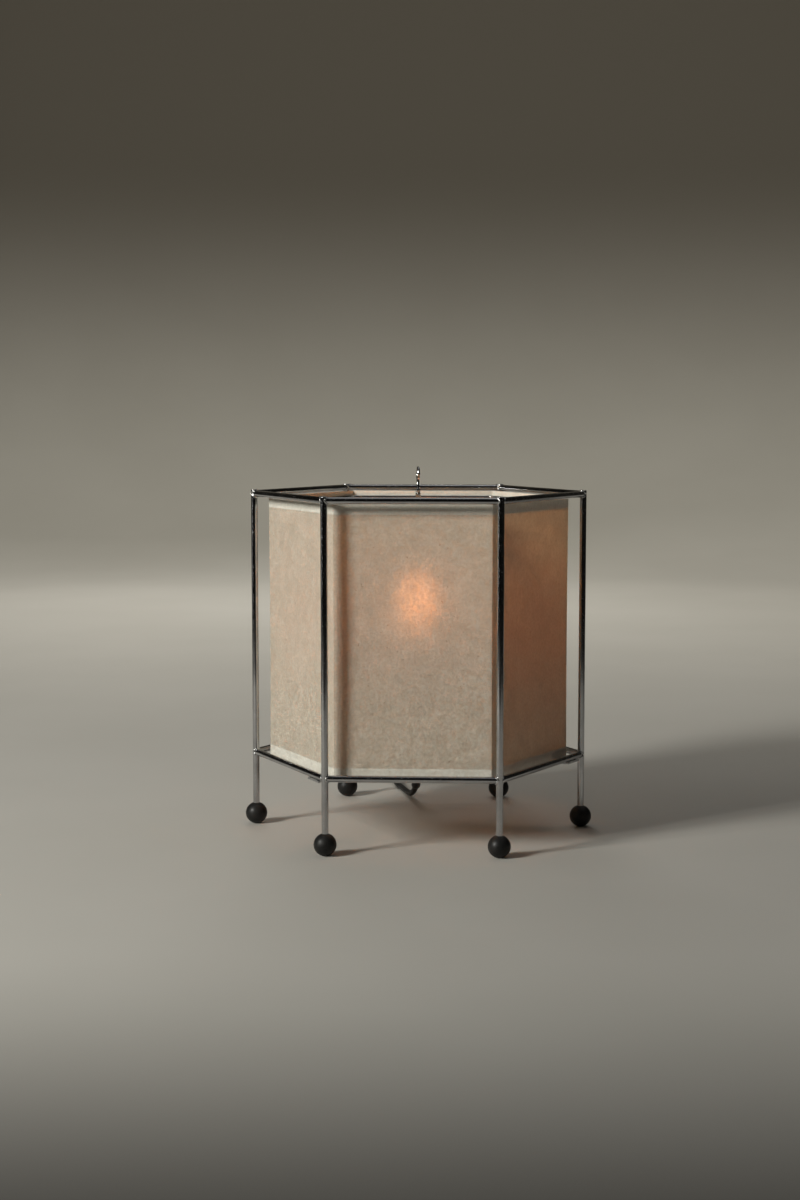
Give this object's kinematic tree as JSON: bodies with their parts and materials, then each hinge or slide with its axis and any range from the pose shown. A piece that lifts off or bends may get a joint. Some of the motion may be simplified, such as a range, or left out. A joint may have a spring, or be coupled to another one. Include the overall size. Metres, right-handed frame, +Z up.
{
  "type": "rice paper table lamp",
  "caption": "Hexagonal table lamp: a plated rod frame on black ball feet holds a folded rice paper shade that lifts out by an eye, over a screw-in bulb on a corded stem.",
  "frame": {"origin": "on the surface that the lamp stands on, under the axis of the hexagon", "axes": "+Z up; -Y towards the front panel, which the camera sees; +X to the right"},
  "size_m": [0.32, 0.4533, 0.3308],
  "materials": {
    "chrome_rod": "polished",
    "black_ball": "satin",
    "zinc_plate": "satin",
    "chrome_wire": "polished",
    "rice_paper": "matte",
    "black_pvc": "satin",
    "black_phenolic": "satin",
    "ceramic": "satin",
    "brass": "satin",
    "opal_glass": "satin",
    "tungsten": "satin"
  },
  "bodies": {
    "frame": {"leg_left": "chrome_rod", "leg_front_left": "chrome_rod", "leg_front_right": "chrome_rod", "leg_right": "chrome_rod", "leg_back_right": "chrome_rod", "leg_back_left": "chrome_rod", "top_rail_front": "chrome_rod", "top_rail_front_right": "chrome_rod", "top_rail_back_right": "chrome_rod", "top_rail_back": "chrome_rod", "top_rail_back_left": "chrome_rod", "top_rail_front_left": "chrome_rod", "bottom_rail_front": "chrome_rod", "bottom_rail_front_right": "chrome_rod", "bottom_rail_back_right": "chrome_rod", "bottom_rail_back": "chrome_rod", "bottom_rail_back_left": "chrome_rod", "bottom_rail_front_left": "chrome_rod", "ball_foot_left": "black_ball", "ball_foot_front_left": "black_ball", "ball_foot_front_right": "black_ball", "ball_foot_right": "black_ball", "ball_foot_back_right": "black_ball", "ball_foot_back_left": "black_ball", "spider_arm_front_left": "zinc_plate", "spider_arm_front_right": "zinc_plate", "spider_arm_back": "zinc_plate", "spider_hub": "zinc_plate", "stem": "zinc_plate", "stem_nut": "zinc_plate", "stem_sleeve": "chrome_wire", "cord_elbow": "black_pvc", "strain_relief": "black_pvc", "inner_flex": "black_pvc", "cord_lead": "black_pvc", "cord_link": "black_pvc", "cord_coil": "black_pvc", "cord_tail": "black_pvc", "coil_tie": "black_pvc", "switch_housing": "black_pvc", "plug_body": "black_pvc", "holder_cap": "black_phenolic", "holder_sleeve": "black_phenolic", "holder_core": "ceramic", "holder_screw_shell": "brass", "plug_pin_left": "brass", "plug_pin_right": "brass"},
    "shade": {"paper_shade": "rice_paper", "shade_upper_ring": "chrome_wire", "shade_lower_ring": "chrome_wire", "shade_crossbar": "chrome_wire", "eye_ferrule": "chrome_wire", "lifting_eye": "chrome_wire"},
    "bulb_tip_contact": {"bulb_tip": "zinc_plate"},
    "bulb": {"bulb_glass": "opal_glass", "bulb_cap": "zinc_plate", "bulb_insulator": "black_phenolic", "bulb_filament": "tungsten"},
    "centre_contact": {"holder_centre_contact": "brass"},
    "rocker": {"switch_rocker": "black_phenolic"}
  },
  "joints": [
    {"name": "shade_lift", "type": "slide", "parent": "frame", "child": "shade", "axis": [0, 0, 1], "range_m": [0, 0.25]},
    {"name": "bulb_rise", "type": "slide", "parent": "frame", "child": "bulb_tip_contact", "axis": [0, 0, 1], "range_m": [0, 0.0109]},
    {"name": "bulb_turn", "type": "hinge", "parent": "bulb_tip_contact", "child": "bulb", "pos_m": [0, 0, 0.155], "axis": [0, 0, 1], "range_deg": [0, 1080]},
    {"name": "centre_contact_press", "type": "slide", "parent": "frame", "child": "centre_contact", "axis": [0, 0, 1], "range_m": [-0.0012, 0], "stiffness_N_per_m": 800},
    {"name": "switch_rocker_tilt", "type": "hinge", "parent": "frame", "child": "rocker", "pos_m": [-0.0305, 0.236, 0.0119], "axis": [1, 0, 0], "range_deg": [-16, 0]}
  ],
  "couplings": [
    {"joint": "bulb_rise", "follows": "bulb_turn", "m_per_rad": 0.00057614}
  ]
}
